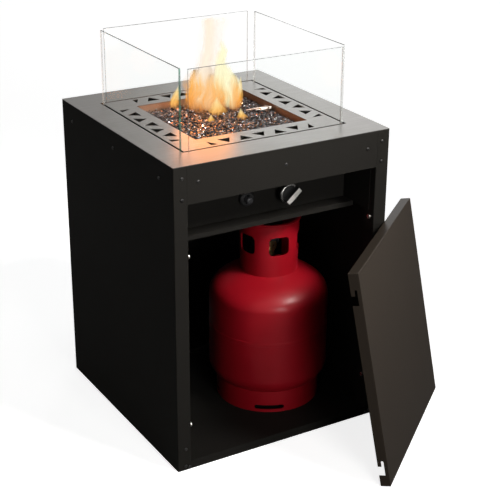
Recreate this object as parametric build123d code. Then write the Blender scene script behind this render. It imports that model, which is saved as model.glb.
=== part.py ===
from build123d import *
import math
import os

# Outdoor gas fireplace: a sheet-steel cabinet with a glass-guarded burner on top, a gas
# bottle inside, and its front panel lifted off and leaning on the right front corner.
# Millimetres. +X right, +Y back, +Z up. Origin: centre of the cabinet's base, on the floor.

# Cabinet shell
cabinet_width = 590.0
cabinet_depth = 620.0
cabinet_height = 785.0
sheet = 1.5
bend_radius = 2.0
post_face = 36.0
post_return = 40.0
back_flange = 20.0
fascia_height = 93.0
floor_height = 23.0
floor_hem = 18.0
corner_clearance = 0.8
corner_tab_height = 72.0
skirt_depth = 60.0
seam = 0.4
vent_width = 90.0
vent_height = 8.0
vent_pitch = 24.0
vent_rows = 4
vent_columns = (-195, -97, 0)
vent_low = 50.0
vent_high_drop = 185.0

# Control recess
recess_depth = 130.0
recess_height = 116.0
shelf_depth = 42.0
shelf_lip = 12.0
control_rise = 48.0
knob_x = 76.0
igniter_x = -33.0

# Top: opening, glass slot, insert plate, tray
glass_thickness = 5.0
glass_gap = 0.5
glass_length = 419.0
glass_rise = 192.0
slot_depth = 20.0
channel_sheet = 1.2
channel_flange = 12.0
insert_half = 220.0
insert_opening_half = 156.0
cutout_band_inner = 181.0
cutout_height = 30.0
cutout_base = 35.0
cutout_pitch = 47.5
cutouts_per_side = 5
tray_clearance = 2.0
tray_depth = 60.0
tray_flange = 18.0
media_level = 15.0

# Burner and pilot
burner_radius = 92.0
burner_tube = 9.5
burner_lift = 20.0
hub_radius = 16.0
feed_radius = 8.0
feed_length = 60.0
mixer_radius = 13.0
mixer_length = 34.0
pilot_x = 139.0
pilot_y = 6.0
probe_radius = 2.4
probe_length = 58.0
probe_rise = 9.0

# Gas bottle
bottle_x = 93.0
bottle_y = -89.0
bottle_radius = 156.0
head_height = 78.0
bottle_wall = 3.0
straight_bottom = 98.0
straight_top = 290.0
weld_height = 205.0
weld_width = 10.0
weld_proud = 0.8
foot_radius = 136.0
foot_wall = 2.6
foot_slot_width = 78.0
foot_slot_height = 12.0
foot_slot_rise = 14.0
collar_base_radius = 74.0
collar_top_radius = 78.0
collar_cover = 63.0
collar_wall = 2.6
collar_rim = 4.5
collar_opening = 96.0
collar_front_angle = 259.0
handle_spread = 69.0
handle_width = 53.0
handle_height = 50.0
handle_drop = 61.0
boss_radius = 24.0
boss_height = 7.0
valve_radius = 14.0
valve_thread = 12.0
outlet_angle = 60.0
outlet_lift = 36.0
outlet_radius = 15.5
outlet_reach = 46.0
handwheel_radius = 31.0
handwheel_lift = 36.0
handwheel_height = 18.0
handwheel_lobes = 6
spindle_radius = 4.0

# Regulator and hose
nut_radius = 21.0
nut_length = 30.0
nut_overlap = 16.0
nut_sleeve = 18.0
thread_clearance = 1.5
grip_rim = 3.0
regulator_radius = 30.0
regulator_height = 34.0
hose_radius = 6.0
fitting_radius = 8.5
fitting_length = 22.0

# Valve, knob and igniter
valve_width = 44.0
valve_body_height = 50.0
valve_body_depth = 48.0
valve_nose_radius = 11.0
valve_nose = 6.0
valve_port = 10.0
stem_radius = 4.0
stem_fit = 0.05
panel_hole_radius = 7.0
knob_gap = 5.0
knob_neck = 20.0
knob_neck_radius = 18.0
knob_radius = 26.0
knob_skirt = 7.0
knob_ring_width = 5.0
knob_grip_length = 48.0
knob_grip_width = 14.0
knob_grip_rise = 20.0
knob_turn = 41.0
inlay_depth = 1.5
knob_travel = 4.0
bezel_radius = 19.5
bezel_proud = 12.0
igniter_radius = 11.0
igniter_length = 46.0
button_radius = 9.5
button_proud = 26.0
button_travel = 7.0
button_fit = 0.3
button_stem = 12.0
inlet_drop = 22.0
pipe_radius = 4.8
pipe_bend = 11.0
pipe_run = 34.0
pipe_back = 70.0
elbow_drop = 26.0

# Front panel, lifted off and leaning
panel_width = 514.0
panel_height = 553.0
panel_flange = 25.0
panel_yaw = 39.64
panel_tilt = 10.76
lean_contact = 342.0
lean_gap = 0.3
stud_neck_radius = 2.6
stud_head_radius = 5.5
stud_neck_length = 4.5
stud_head_length = 3.0
stud_depth = 12.5
stud_low = 117.0
stud_spacing = 443.0
hook_seat = 66.0
hook_slot = 6.6
hook_entry_height = 24.0
hook_drop = 36.0
hook_reach = 60.0

# Fasteners
post_screw_inset = 21.5
post_screw_low = 10.5
post_screw_tab = 58.6
post_screw_mid_drop = 79.3
post_screw_top_drop = 28.5
rail_screw_inset = 4.4
rail_screw_height = 6.5
fascia_screw_drop = 42.0
fascia_screw_reach = 232.0
side_screw_drop = 44.0
side_screw_front = 240.0
side_screw_back = 246.0
back_screw_low = 60.0
back_screw_drop = 45.0
screw_head_radius = 4.2
screw_head_height = 2.2
screw_radius = 2.0
screw_length = 9.0
screw_clearance = 0.15

half_width = cabinet_width / 2
half_depth = cabinet_depth / 2
front = -half_depth
wall_inner = half_width - sheet
front_inner = front + sheet
back_inner = half_depth - sheet
plate_bottom = cabinet_height - sheet
post_inner = half_width - post_face
fascia_bottom = cabinet_height - fascia_height
shelf_height = fascia_bottom - recess_height
control_height = shelf_height + control_rise
control_face = front + recess_depth
slot_outer = insert_half + glass_thickness + 2 * glass_gap
glass_line = insert_half + glass_gap + glass_thickness / 2
slot_floor = plate_bottom - slot_depth
tray_half = insert_opening_half + tray_clearance
tray_floor = plate_bottom - tray_depth
media_top = plate_bottom - media_level
bottle_base = floor_height
bottle_top = straight_top + head_height
outlet_rise = bottle_top + outlet_lift
handwheel_rise = outlet_rise + handwheel_lift
collar_top = handwheel_rise + collar_cover
handle_rise = collar_top - handle_drop


def block(x, y, z):
    """A box from three (low, high) pairs."""
    size = (x[1] - x[0], y[1] - y[0], z[1] - z[0])
    return Pos(x[0], y[0], z[0]) * Box(*size, align=(Align.MIN, Align.MIN, Align.MIN))


def rod(start, direction, radius, length):
    """A round bar from a point along a direction."""
    place = Plane(origin=start, z_dir=direction)
    return place * Cylinder(radius, length, align=(Align.CENTER, Align.CENTER, Align.MIN))


def folded(points, height, thickness=sheet):
    """A sheet folded along points on its outside, to the left of the line, and extruded up."""
    outside = FilletPolyline(*points, radius=bend_radius)
    strip = outside.wire().offset_2d(thickness, side=Side.LEFT, kind=Kind.INTERSECTION, closed=True)
    return extrude(Face(strip), amount=height, dir=(0, 0, 1))


def square_ring(outer, inner, low, high):
    """A square frame about the Z axis."""
    return block((-outer, outer), (-outer, outer), (low, high)) - block(
        (-inner, inner), (-inner, inner), (low, high)
    )


def screw(seat, outward):
    """A round-head screw: its head stands outward from the seat, its shank goes in."""
    inward = Vector(*outward) * -1
    head = rod(seat, outward, screw_head_radius, screw_head_height)
    head = fillet(head.edges().group_by(Axis(seat, outward))[-1], screw_head_height * 0.6)
    return head + rod(seat, inward, screw_radius, screw_length)


def screw_holes(places):
    """Clearance holes for the shanks of screws at (seat, outward) places."""
    drill = screw_radius + screw_clearance
    start = [(Vector(*seat) + Vector(*out) * sheet, Vector(*out) * -1) for seat, out in places]
    return [rod(seat, inward, drill, screw_length + 2 * sheet) for seat, inward in start]


def screws(places):
    """One screw at each (seat, outward) place."""
    return Compound([screw(seat, outward) for seat, outward in places])


# Fastener places: a seat on the outside and the way the head faces.
post_screw_x = half_width - post_screw_inset
post_screw_heights = (
    post_screw_low,
    post_screw_tab,
    cabinet_height - post_screw_mid_drop,
    cabinet_height - post_screw_top_drop,
)
post_screw_places = [
    ((side * post_screw_x, front, z), (0, -1, 0)) for side in (-1, 1) for z in post_screw_heights
]
rail_screw_x = post_inner + rail_screw_inset
post_screw_places += [((side * rail_screw_x, front, rail_screw_height), (0, -1, 0)) for side in (-1, 1)]
fascia_screw_z = cabinet_height - fascia_screw_drop
fascia_screw_places = [
    ((step * fascia_screw_reach, front, fascia_screw_z), (0, -1, 0)) for step in (-1, 0, 1)
]
side_screw_z = cabinet_height - side_screw_drop
side_screw_middle = (side_screw_back - side_screw_front) / 2
side_screw_rows = (-side_screw_front, side_screw_middle, side_screw_back)
side_screw_places = [
    ((side * half_width, y, side_screw_z), (side, 0, 0)) for side in (-1, 1) for y in side_screw_rows
]
back_screw_x = half_width - back_flange / 2
back_screw_heights = (back_screw_low, cabinet_height / 2, cabinet_height - back_screw_drop)
back_screw_places = [
    ((side * back_screw_x, half_depth, z), (0, 1, 0)) for side in (-1, 1) for z in back_screw_heights
]
all_places = post_screw_places + fascia_screw_places + side_screw_places + back_screw_places


def drilled(shape, places):
    """The shape with the clearance holes of its screws."""
    for hole in screw_holes(places):
        shape = shape - hole
    return shape


def side_panel(side):
    """One side wall with its front post face, the return beside the opening and a back flange."""
    return_end = front + post_return
    points = [
        (side * post_inner, return_end),
        (side * post_inner, front),
        (side * half_width, front),
        (side * half_width, half_depth),
        (side * (half_width - back_flange), half_depth),
    ]
    if side < 0:
        points.reverse()
    panel = folded(points, plate_bottom)
    strip = tuple(sorted((side * (post_inner - 1), side * (post_inner + bend_radius))))
    for low, high in ((0, floor_height), (fascia_bottom, plate_bottom)):
        panel = panel - block(strip, (front - 1, return_end + 1), (low, high))
    return drilled(panel, all_places)


def fascia():
    """The band above the recess, its tabs behind the posts and the ceiling of the recess."""
    reach = post_inner + bend_radius - seam
    face = block((-reach, reach), (front, front_inner), (fascia_bottom, plate_bottom))
    ceiling_end = control_face + 20
    ceiling = block((-reach, reach), (front, ceiling_end), (fascia_bottom, fascia_bottom + sheet))
    band = face + ceiling
    for side in (-1, 1):
        tab = tuple(sorted((side * (post_inner - 14), side * (half_width - 6))))
        band = band + block(tab, (front_inner, front_inner + sheet), (fascia_bottom, plate_bottom))
    return drilled(band, all_places)


def control_panel():
    """The back wall of the control recess with its shelf, lip and cheeks."""
    reach = post_inner - seam / 2
    top = fascia_bottom
    back = control_face + sheet
    face = block((-reach, reach), (control_face, back), (shelf_height, top))
    shelf_front = control_face - shelf_depth
    shelf = block((-reach, reach), (shelf_front, back), (shelf_height - sheet, shelf_height))
    lip_low = shelf_height - shelf_lip
    lip = block((-reach, reach), (shelf_front, shelf_front + sheet), (lip_low, shelf_height))
    panel = face + shelf + lip
    panel = panel + block((-reach, reach), (back, back + 16), (top - sheet, top))
    cheek_front = front + post_return - 20
    for side in (-1, 1):
        cheek = tuple(sorted((side * (reach - sheet), side * reach)))
        panel = panel + block(cheek, (cheek_front, back), (shelf_height - sheet, top))
    panel = panel - rod((knob_x, control_face - 1, control_height), (0, 1, 0), panel_hole_radius, 4)
    return panel - rod((igniter_x, control_face - 1, control_height), (0, 1, 0), igniter_radius, 4)


def floor_pan():
    """The bottle's floor: a down-turned pan with a hem on the ground and corner tabs."""
    reach_x = wall_inner - corner_clearance
    low_y = front_inner + sheet
    high_y = back_inner - sheet
    outer = block((-reach_x, reach_x), (low_y, high_y), (0, floor_height))
    inner = block(
        (-reach_x + sheet, reach_x - sheet), (low_y + sheet, high_y - sheet), (sheet, floor_height - sheet)
    )
    hem = block(
        (-reach_x + floor_hem, reach_x - floor_hem), (low_y + floor_hem, high_y - floor_hem), (-1, 2 * sheet)
    )
    pan = outer - inner - hem
    rail_reach = post_inner + bend_radius - seam
    rail = block((-rail_reach, rail_reach), (front, low_y), (0, floor_height))
    rail_inside = block((-rail_reach, rail_reach), (front_inner, low_y), (sheet, floor_height - sheet))
    pan = pan + (rail - rail_inside)
    for side in (-1, 1):
        tab = tuple(sorted((side * (post_inner + 2 * sheet), side * reach_x)))
        pan = pan + block(tab, (front_inner, low_y), (0, corner_tab_height))
    return drilled(pan, post_screw_places)


def back_panel():
    """The back wall, inside the side panels' flanges, with louvre slots low and high."""
    reach = wall_inner - corner_clearance
    wall = block((-reach, reach), (back_inner - sheet, back_inner), (0, plate_bottom))
    for base in (vent_low, cabinet_height - vent_high_drop):
        for row in range(vent_rows):
            z = base + row * vent_pitch
            for x in vent_columns:
                slot = SlotOverall(vent_width, vent_height)
                place = Plane(origin=(x, back_inner + 1, z), x_dir=(1, 0, 0), z_dir=(0, -1, 0))
                wall = wall - extrude(place * slot, amount=4)
    return drilled(wall, back_screw_places)


def top_plate():
    """The square-opened top with its skirts inside the walls."""
    plate = block((-half_width, half_width), (front, half_depth), (plate_bottom, cabinet_height))
    plate = fillet(plate.edges().filter_by(Axis.Z), bend_radius)
    plate = plate - block((-slot_outer, slot_outer), (-slot_outer, slot_outer), (plate_bottom, cabinet_height))
    low = plate_bottom - skirt_depth
    tab_start = post_inner - 16
    side_reach = half_depth - 12
    back_end = back_inner - sheet
    plate = plate + block((-tab_start, tab_start), (front_inner, front_inner + sheet), (low, plate_bottom))
    plate = plate + block((-tab_start, tab_start), (back_end - sheet, back_end), (low, plate_bottom))
    for side in (-1, 1):
        skirt = tuple(sorted((side * (wall_inner - sheet), side * wall_inner)))
        plate = plate + block(skirt, (-side_reach, side_reach), (low, plate_bottom))
    return drilled(plate, fascia_screw_places + side_screw_places)


def triangle(points):
    """A flat face from its corners."""
    return make_face(Polyline(*points, close=True))


def side_cutouts():
    """The cut-outs along one side of the insert plate: triangles that point in and out by turns."""
    near = -cutout_band_inner
    far = near - cutout_height
    half = cutout_base / 2
    reach = cutouts_per_side // 2
    shapes = []
    for step in range(-reach, reach + 1):
        x = step * cutout_pitch
        base, tip = (near, far) if step % 2 == 0 else (far, near)
        shapes.append(triangle([(x - half, base), (x + half, base), (x, tip)]))
    end = (reach + 1) * cutout_pitch
    for side in (-1, 1):
        inner = side * (end - half)
        outer = side * end
        shapes.append(triangle([(inner, far), (outer, far), (outer, near)]))
    return shapes


def insert_plate():
    """The perforated plate between the glass slot and the fire opening."""
    plate = square_ring(insert_half, insert_opening_half, plate_bottom, cabinet_height)
    for turn in range(4):
        for shape in side_cutouts():
            cut = extrude(Pos(0, 0, plate_bottom - 1) * Rot(0, 0, 90 * turn) * shape, amount=sheet + 2)
            plate = plate - cut
    return plate


def glass_channel(turn):
    """One side of the slot that the glass stands in: a U-shaped strip under the top."""
    reach = insert_half - channel_sheet if turn % 2 else slot_outer + channel_flange
    wall_low = slot_floor - channel_sheet
    base = -slot_outer - channel_sheet
    end = -insert_half + channel_sheet
    strip = block((-reach, reach), (base, end), (wall_low, slot_floor))
    outer_flange = (-slot_outer - channel_flange, -slot_outer)
    inner_flange = (-insert_half, -insert_half + channel_flange)
    inner_reach = insert_half - channel_flange if turn % 2 else insert_half
    top = plate_bottom
    strip = strip + block((-reach, reach), (base, -slot_outer), (slot_floor, top))
    strip = strip + block((-reach, reach), outer_flange, (top - channel_sheet, top))
    strip = strip + block((-inner_reach, inner_reach), (-insert_half, end), (slot_floor, top))
    strip = strip + block((-inner_reach, inner_reach), inner_flange, (top - channel_sheet, top))
    return Rot(0, 0, 90 * turn) * strip


def glass_pane(turn):
    """One clear pane, standing in its slot, short of the corners."""
    half = glass_length / 2
    thick = (-glass_line - glass_thickness / 2, -glass_line + glass_thickness / 2)
    pane = block((-half, half), thick, (slot_floor, cabinet_height + glass_rise))
    pane = chamfer(pane.edges().filter_by(Axis.Z), 0.6)
    return Rot(0, 0, 90 * turn) * pane


def burner_tray():
    """The pan under the fire opening, hung from the insert plate by its flange."""
    wall = channel_sheet
    tray = square_ring(tray_half + wall, tray_half, tray_floor, plate_bottom)
    outer = tray_half + wall
    tray = tray + block((-outer, outer), (-outer, outer), (tray_floor - wall, tray_floor))
    tray = tray + square_ring(tray_half + tray_flange, tray_half, plate_bottom - wall, plate_bottom)
    tray = tray - rod((0, 0, tray_floor + 1), (0, 0, -1), feed_radius, 4)
    return tray


def burner_ring():
    """A round tube with a cross bar and a hub, under the crushed glass."""
    height = tray_floor + burner_lift
    ring = Pos(0, 0, height) * Torus(burner_radius, burner_tube)
    bar = rod((-burner_radius, 0, height), (1, 0, 0), burner_tube * 0.8, 2 * burner_radius)
    hub = rod((0, 0, tray_floor), (0, 0, 1), hub_radius, burner_lift + burner_tube)
    return ring + bar + hub


def burner_feed():
    """The pipe from the air mixer up through the tray to the burner's hub."""
    return rod((0, 0, tray_floor), (0, 0, -1), feed_radius, feed_length)


def air_mixer():
    """The mixing tube with its air slots below the feed pipe."""
    top = tray_floor - feed_length
    mixer = rod((0, 0, top), (0, 0, -1), mixer_radius, mixer_length)
    for turn in range(4):
        slot = block((mixer_radius * 0.5, mixer_radius + 1), (-3, 3), (top - 24, top - 10))
        mixer = mixer - Rot(0, 0, 45 + 90 * turn) * slot
    return mixer


def fire_glass():
    """The bed of crushed glass that fills the tray round the burner."""
    bed = block((-tray_half, tray_half), (-tray_half, tray_half), (tray_floor, media_top))
    bed = bed - burner_ring()
    return bed - pilot_bracket()


def pilot_bracket():
    """The upright strap that carries the flame probe and the spark electrode."""
    top = media_top + probe_rise + 4
    strap = block((pilot_x - 1, pilot_x + 1), (pilot_y - 11, pilot_y + 11), (tray_floor, top))
    level = media_top + probe_rise
    strap = strap - rod((pilot_x - 2, pilot_y + 5, level), (1, 0, 0), probe_radius, 4)
    return strap - rod((pilot_x - 2, pilot_y - 5, level), (1, 0, 0), 3.5, 4)


def thermocouple():
    """The bright probe that lies level over the glass bed."""
    start = (pilot_x + 8, pilot_y + 5, media_top + probe_rise)
    probe = rod(start, (-1, 0, 0), probe_radius, probe_length + 8)
    return fillet(probe.edges().sort_by(Axis.X)[0], probe_radius * 0.8)


def spark_electrode():
    """A ceramic sleeve with its spark wire."""
    start = (pilot_x + 9, pilot_y - 5, media_top + probe_rise)
    sleeve = rod(start, (-1, 0, 0), 3.5, 30)
    wire = rod(start, (-1, 0, 0), 1.0, 44)
    return sleeve + wire


def bottle_profile(radius, rise, low, high):
    """Half of a bottle's outline: two elliptical heads and a straight side."""
    bottom = EllipticalCenterArc((0, low), radius, rise, start_angle=270, arc_size=90)
    wall = Line((radius, low), (radius, high))
    top = EllipticalCenterArc((0, high), radius, rise, start_angle=0, arc_size=90)
    axis = Line((0, high + rise), (0, low - rise))
    return make_face(bottom + wall + top + axis)


def bottle_solid(radius, rise):
    """A full bottle body of a radius and head height, in its place."""
    low = bottle_base + straight_bottom
    high = bottle_base + straight_top
    outline = Plane.XZ * bottle_profile(radius, rise, low, high)
    return Pos(bottle_x, bottle_y, 0) * revolve(outline, Axis.Z, 360)


def bottle_shell():
    """The pressed bottle: two heads, a girth weld and the threaded boss on top."""
    outer = bottle_solid(bottle_radius, head_height)
    z = bottle_base + weld_height
    band = Pos(bottle_x, bottle_y, z) * Cylinder(bottle_radius + weld_proud, weld_width)
    band = fillet(band.edges(), weld_proud)
    top = bottle_base + bottle_top
    boss = rod((bottle_x, bottle_y, top - 12), (0, 0, 1), boss_radius, 12 + boss_height)
    shell = outer + band + boss - bottle_solid(bottle_radius - bottle_wall, head_height - bottle_wall)
    return shell - rod((bottle_x, bottle_y, top - 20), (0, 0, 1), valve_thread, 40)


def foot_ring():
    """The rolled foot under the bottle, with vent slots at its base."""
    low = bottle_base
    high = low + straight_bottom - 20
    centre = (bottle_x, bottle_y, low)
    ring = rod(centre, (0, 0, 1), foot_radius, high - low)
    ring = ring - rod(centre, (0, 0, 1), foot_radius - foot_wall, high - low)
    for turn in range(4):
        slot = SlotOverall(foot_slot_width, foot_slot_height)
        place = Plane(origin=(foot_radius + 5, 0, low + foot_slot_rise), x_dir=(0, 1, 0), z_dir=(-1, 0, 0))
        cut = extrude(place * slot, amount=20)
        ring = ring - Pos(bottle_x, bottle_y, 0) * Rot(0, 0, collar_front_angle - 18 + 90 * turn) * cut
    return ring - bottle_solid(bottle_radius, head_height)


def bottle_collar():
    """The guard round the valve: flared, rimmed, open at the outlet, with three hand holes."""
    base = bottle_base + bottle_top - 26
    top = bottle_base + collar_top
    low = collar_base_radius
    high = collar_top_radius
    outline = Polyline(
        (low - collar_wall, base),
        (low, base),
        (high, top - 6),
        (high + collar_rim, top - 2),
        (high + collar_rim, top),
        (high - collar_wall, top),
        close=True,
    )
    collar = revolve(Plane.XZ * make_face(outline), Axis.Z, 360)
    reach = 2 * high
    half = math.radians(collar_opening / 2)
    wedge = triangle([(0, 0), (reach, -reach * math.tan(half)), (reach, reach * math.tan(half))])
    back = collar_front_angle + 180
    gap = extrude(Pos(0, 0, base + 10) * wedge, amount=top)
    collar = collar - Rot(0, 0, back) * gap
    for turn in (-1, 0, 1):
        hole = RectangleRounded(handle_width, handle_height, 12)
        place = Plane(origin=(high + 20, 0, bottle_base + handle_rise), x_dir=(0, 1, 0), z_dir=(-1, 0, 0))
        cut = extrude(place * hole, amount=60)
        collar = collar - Rot(0, 0, collar_front_angle + turn * handle_spread) * cut
    collar = Pos(bottle_x, bottle_y, 0) * collar
    return collar - bottle_solid(bottle_radius, head_height)


outlet = Vector(math.cos(math.radians(outlet_angle)), math.sin(math.radians(outlet_angle)), 0)
outlet_z = bottle_base + outlet_rise
valve_axis = Vector(bottle_x, bottle_y, 0)


def along_outlet(distance, height=outlet_z):
    """A point on the outlet's axis, at a distance from the bottle's axis."""
    return valve_axis + outlet * distance + Vector(0, 0, height)


def bottle_valve():
    """The brass valve: a threaded shank, a body and a relief port."""
    top = bottle_base + bottle_top
    seat = top + boss_height
    shank = rod((bottle_x, bottle_y, top - 10), (0, 0, 1), valve_thread, 10 + boss_height)
    body_top = bottle_base + handwheel_rise - 8
    body = rod((bottle_x, bottle_y, seat), (0, 0, 1), valve_radius, body_top - seat)
    relief = rod(along_outlet(0), outlet * -1, 8, 24)
    valve = shank + body + relief
    spindle = rod((bottle_x, bottle_y, body_top - 8), (0, 0, 1), spindle_radius + stem_fit, 10)
    return valve - spindle - outlet_bar()


def outlet_bar():
    """The outlet's neck and its threaded end."""
    neck = rod(along_outlet(valve_radius - 4), outlet, outlet_radius - 3, outlet_reach - valve_radius + 4)
    thread = rod(along_outlet(outlet_reach - nut_overlap - 6), outlet, outlet_radius, nut_overlap + 6)
    return neck + thread


def valve_outlet():
    """The threaded outlet, screwed into the valve's body, with its gas way."""
    return outlet_bar() - rod(along_outlet(valve_radius), outlet, 4, outlet_reach)


def handwheel():
    """The lobed wheel that opens the bottle, with its spindle."""
    low = bottle_base + handwheel_rise
    wheel = Cylinder(handwheel_radius, handwheel_height, align=(Align.CENTER, Align.CENTER, Align.MIN))
    for lobe in range(handwheel_lobes):
        notch = Pos(handwheel_radius + 4, 0, -1) * Cylinder(
            9, handwheel_height + 2, align=(Align.CENTER, Align.CENTER, Align.MIN)
        )
        wheel = wheel - Rot(0, 0, 360 / handwheel_lobes * lobe) * notch
    wheel = Pos(bottle_x, bottle_y, low) * wheel
    return wheel + rod((bottle_x, bottle_y, low - 15.5), (0, 0, 1), spindle_radius, 16)


def coupling_nut():
    """The threaded sleeve that takes the bottle's outlet."""
    start = outlet_reach - nut_overlap
    nut = rod(along_outlet(start), outlet, nut_radius, nut_sleeve)
    return nut - rod(along_outlet(start), outlet, outlet_radius + thread_clearance, nut_sleeve)


def nut_grip():
    """The hand grip of the coupling nut, which turns on the regulator's spigot."""
    start = outlet_reach - nut_overlap + nut_sleeve
    length = nut_length - nut_sleeve
    grip = rod(along_outlet(start), outlet, nut_radius + grip_rim, length)
    grip = chamfer(grip.edges().filter_by(GeomType.CIRCLE), 1.5)
    return grip - rod(along_outlet(start), outlet, 9 + stem_fit, length)


def regulator():
    """The round regulator with its spigot into the nut and its hose port."""
    start = outlet_reach - nut_overlap + nut_length
    spigot = rod(along_outlet(outlet_reach + 2), outlet, 9, 40)
    centre = along_outlet(start + regulator_radius + 6)
    low = centre - Vector(0, 0, regulator_height / 2)
    body = rod(low, (0, 0, 1), regulator_radius, regulator_height)
    body = fillet(body.edges(), 4)
    cap = rod(centre + Vector(0, 0, regulator_height / 2 - 1), (0, 0, 1), 14, 9)
    port = rod(centre, outlet, 9, regulator_radius + 10)
    return body + spigot + cap + port


regulator_end = outlet_reach - nut_overlap + nut_length + 2 * regulator_radius + 16
hose_start = along_outlet(regulator_end + fitting_length)
inlet_start = Vector(knob_x - valve_width / 2, control_face + 36, control_height - inlet_drop)
hose_end = inlet_start - Vector(fitting_length + 8, 0, 0)

# The hose's route: from the regulator down behind the bottle, along the floor, up on the left
# and over to the valve. The points are chosen by hand.
hose_route = [
    tuple(hose_start),
    tuple(along_outlet(regulator_end + fitting_length + 52)),
    (247, 212, 372),
    (238, 236, 290),
    (222, 232, 200),
    (194, 222, 108),
    (130, 200, 46),
    (40, 168, 34),
    (-44, 132, 62),
    (-98, 98, 132),
    (-146, 66, 222),
    (-186, 34, 320),
    (-202, 2, 420),
    (-182, -46, hose_end.Z - 90),
    (-132, -100, hose_end.Z - 28),
    (-70, -134, hose_end.Z - 8),
    (hose_end.X - 42, hose_end.Y, hose_end.Z),
    tuple(hose_end),
]


def hose_radii():
    """A bend radius for each corner of the route: as large as its two runs allow."""
    points = [Vector(*p) for p in hose_route]
    radii = []
    for before, corner, after in zip(points, points[1:], points[2:]):
        turn = (corner - before).get_angle(after - corner)
        run = min((corner - before).length, (after - corner).length)
        radii.append(0.45 * run / math.tan(math.radians(turn) / 2))
    return radii


def gas_hose():
    """The rubber hose between the regulator and the valve."""
    path = FilletPolyline(*hose_route, radius=hose_radii())
    ring = Plane(origin=hose_route[0], z_dir=outlet) * Circle(hose_radius)
    hose = sweep(ring, path=path)
    section = math.pi * hose_radius**2
    print("hose radii", [round(r) for r in hose_radii()])
    print("hose length", round(path.length), "volume share", round(hose.volume / section / path.length, 4))
    return hose


def hose_fitting(start, direction):
    """A crimped ferrule with its hexagon."""
    hexagon = Plane(origin=start, z_dir=direction) * RegularPolygon(fitting_radius + 1.5, 6)
    nut = extrude(hexagon, amount=8)
    return nut + rod(start, direction, fitting_radius, fitting_length)


def gas_valve():
    """The control valve behind the recess wall, with its nose in the stem's hole."""
    back = control_face + sheet
    nose = rod((knob_x, back, control_height), (0, 1, 0), valve_nose_radius, valve_nose)
    x = (knob_x - valve_width / 2, knob_x + valve_width / 2)
    y = (back + valve_nose, back + valve_nose + valve_body_depth)
    half = valve_body_height / 2
    body = block(x, y, (control_height - half, control_height + half))
    body = fillet(body.edges().filter_by(Axis.Y), 5)
    inlet = rod(tuple(inlet_start), (-1, 0, 0), 7, 8)
    port = rod((knob_x, y[1], control_height), (0, 1, 0), 8, valve_port)
    bore = rod((knob_x, back - 1, control_height), (0, 1, 0), stem_radius + stem_fit, 30)
    return nose + body + inlet + port - bore


stem_front = control_face - knob_gap - knob_neck - knob_skirt - 4


def valve_stem():
    """The round stem that the knob rides on."""
    length = control_face + sheet + 26 - stem_front
    return rod((knob_x, stem_front, control_height), (0, 1, 0), stem_radius, length)


knob_back = control_face - knob_gap
skirt_back = knob_back - knob_neck
knob_face = skirt_back - knob_skirt
grip_face = knob_face - knob_grip_rise


def knob():
    """The black knob: a neck, a round skirt and a bar grip, bored for the stem."""
    neck = rod((knob_x, knob_back, control_height), (0, -1, 0), knob_neck_radius, knob_neck)
    centre = (knob_x, skirt_back, control_height)
    skirt = rod(centre, (0, -1, 0), knob_radius - knob_ring_width, knob_skirt)
    place = Plane(origin=(knob_x, knob_face, control_height), x_dir=(1, 0, 0), z_dir=(0, -1, 0))
    bar = RectangleRounded(knob_grip_length, knob_grip_width, 3)
    grip = extrude(place * Rot(0, 0, knob_turn) * bar, amount=knob_grip_rise)
    recess = RectangleRounded(knob_grip_length - 2, knob_grip_width - 2, 2)
    deep = Plane(origin=(knob_x, grip_face + inlay_depth, control_height), x_dir=(1, 0, 0), z_dir=(0, -1, 0))
    cut = extrude(deep * Rot(0, 0, knob_turn) * recess, amount=inlay_depth + 1)
    bore_end = stem_front - knob_travel - 2
    bore = rod((knob_x, bore_end, control_height), (0, 1, 0), stem_radius + stem_fit, knob_back - bore_end + 1)
    return neck + skirt + grip - cut - bore


def knob_ring():
    """The bright ring round the knob's skirt."""
    centre = (knob_x, skirt_back, control_height)
    outer = rod(centre, (0, -1, 0), knob_radius, knob_skirt)
    outer = chamfer(outer.edges().group_by(Axis.Y)[0], 2)
    return outer - rod(centre, (0, -1, 0), knob_radius - knob_ring_width, knob_skirt)


def knob_inlay():
    """The bright strip let into the grip's face."""
    place = Plane(origin=(knob_x, grip_face + inlay_depth, control_height), x_dir=(1, 0, 0), z_dir=(0, -1, 0))
    strip = RectangleRounded(knob_grip_length - 2, knob_grip_width - 2, 2)
    return extrude(place * Rot(0, 0, knob_turn) * strip, amount=inlay_depth)


def igniter_body():
    """The igniter's barrel through the recess wall, with its bezel in front."""
    seat = (igniter_x, control_face, control_height)
    bezel = rod(seat, (0, -1, 0), bezel_radius, bezel_proud)
    bezel = chamfer(bezel.edges().group_by(Axis.Y)[0], 2)
    barrel = rod(seat, (0, 1, 0), igniter_radius, igniter_length)
    bore_start = (igniter_x, control_face - bezel_proud - 1, control_height)
    bore_length = bezel_proud + button_stem + button_travel + 3
    bore = rod(bore_start, (0, 1, 0), button_radius + button_fit, bore_length)
    return bezel + barrel - bore


def igniter_nut():
    """The nut that holds the igniter to the wall from behind."""
    start = (igniter_x, control_face + sheet, control_height)
    ring = extrude(Plane(origin=start, z_dir=(0, 1, 0)) * RegularPolygon(17, 6), amount=5)
    return ring - rod(start, (0, 1, 0), igniter_radius, 6)


def igniter_button():
    """The push button, crowned at the front."""
    start = (igniter_x, control_face - button_proud, control_height)
    button = rod(start, (0, 1, 0), button_radius, button_proud + button_stem)
    return fillet(button.edges().group_by(Axis.Y)[0], 3)


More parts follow.
